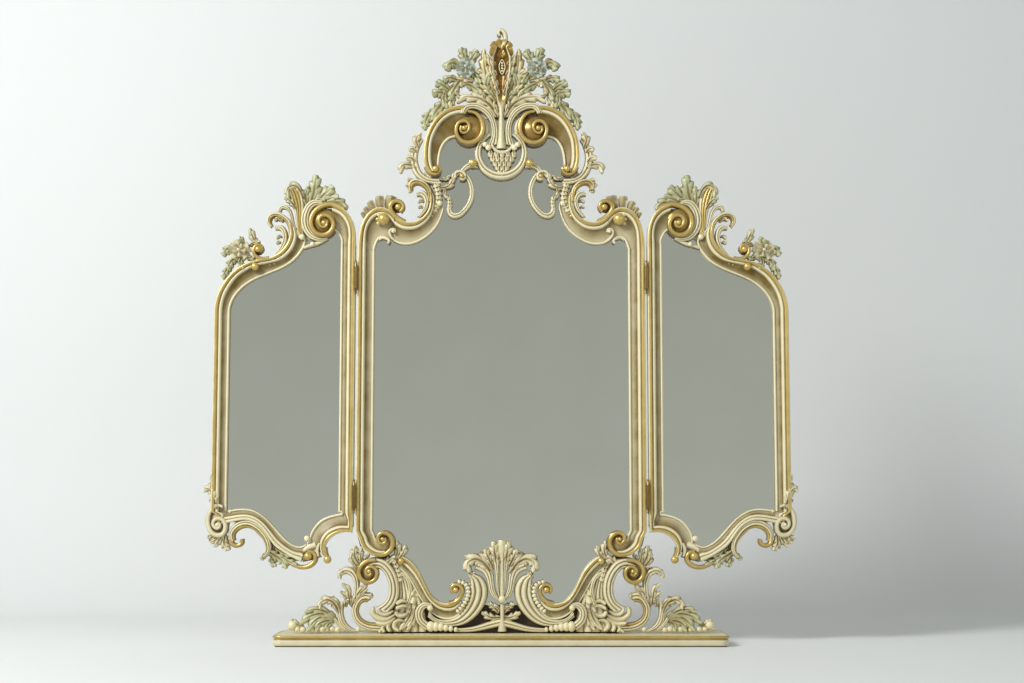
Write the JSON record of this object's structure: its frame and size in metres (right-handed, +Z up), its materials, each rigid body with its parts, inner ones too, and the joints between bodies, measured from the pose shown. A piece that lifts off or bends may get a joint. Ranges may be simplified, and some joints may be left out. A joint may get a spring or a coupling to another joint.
{
  "type": "trifold dressing mirror",
  "caption": "Free-standing trifold dressing mirror in a carved rococo frame, with a shaped centre glass on a long base and hinged side wings that swing forward.",
  "frame": {"origin": "middle of the underside of the base felt, where the mirror stands", "axes": "+Z up, the glass faces -Y, +X to the viewer's right; wings in line with the centre at joint value 0"},
  "size_m": [1.3828, 0.18, 1.481],
  "materials": {
    "ivory_carving": "aged ivory lacquer over carved wood, with worn gold on lips and beads",
    "tinted_carving": "ivory lacquer tinted green and blue on carved leaves and flowers",
    "dark_board": "dark stained board, matt",
    "plywood_back": "bare plywood",
    "mirror_glass": "silvered glass",
    "brass": "aged brass, satin",
    "steel": "zinc plated",
    "felt": "glued felt"
  },
  "bodies": {
    "stand": {"apron_board": "dark_board", "apron_palmette": "ivory_carving", "base_board": "ivory_carving", "base_felt": "felt", "centre_back_panel": "plywood_back", "centre_clips": "steel", "centre_glass": "mirror_glass", "centre_screws": "steel", "crest_board": "dark_board", "crest_pendant": "ivory_carving", "crest_plume": "ivory_carving", "crest_ring": "ivory_carving", "left_apron_scroll": "ivory_carving", "left_back_post": "dark_board", "left_centre_stile": "ivory_carving", "left_console_leaves": "tinted_carving", "left_console_scroll": "ivory_carving", "left_crest_acanthus": "ivory_carving", "left_crest_arch": "ivory_carving", "left_ear_scroll": "ivory_carving", "left_flower_spray": "tinted_carving", "left_frame_hinges": "brass", "left_shoulder_scroll": "ivory_carving", "left_side_leaf": "ivory_carving", "right_apron_scroll": "ivory_carving", "right_back_post": "dark_board", "right_centre_stile": "ivory_carving", "right_console_leaves": "tinted_carving", "right_console_scroll": "ivory_carving", "right_crest_acanthus": "ivory_carving", "right_crest_arch": "ivory_carving", "right_ear_scroll": "ivory_carving", "right_flower_spray": "tinted_carving", "right_frame_hinges": "brass", "right_shoulder_scroll": "ivory_carving", "right_side_leaf": "ivory_carving"},
    "left_wing": {"left_wing_back_panel": "plywood_back", "left_wing_bottom_board": "dark_board", "left_wing_bottom_rail": "ivory_carving", "left_wing_crest": "ivory_carving", "left_wing_fixings": "steel", "left_wing_glass": "mirror_glass", "left_wing_hinges": "brass", "left_wing_inner_stile": "ivory_carving", "left_wing_outer_stile": "ivory_carving", "left_wing_rose": "tinted_carving", "left_wing_top_board": "dark_board", "left_wing_top_rail": "ivory_carving"},
    "right_wing": {"right_wing_back_panel": "plywood_back", "right_wing_bottom_board": "dark_board", "right_wing_bottom_rail": "ivory_carving", "right_wing_crest": "ivory_carving", "right_wing_fixings": "steel", "right_wing_glass": "mirror_glass", "right_wing_hinges": "brass", "right_wing_inner_stile": "ivory_carving", "right_wing_outer_stile": "ivory_carving", "right_wing_rose": "tinted_carving", "right_wing_top_board": "dark_board", "right_wing_top_rail": "ivory_carving"}
  },
  "joints": [
    {"name": "left_wing_hinge", "type": "hinge", "parent": "stand", "child": "left_wing", "pos_m": [-0.349, -0.029, 0.6], "axis": [0, 0, 1], "range_deg": [0, 165]},
    {"name": "right_wing_hinge", "type": "hinge", "parent": "stand", "child": "right_wing", "pos_m": [0.349, -0.029, 0.6], "axis": [0, 0, -1], "range_deg": [0, 165]}
  ]
}
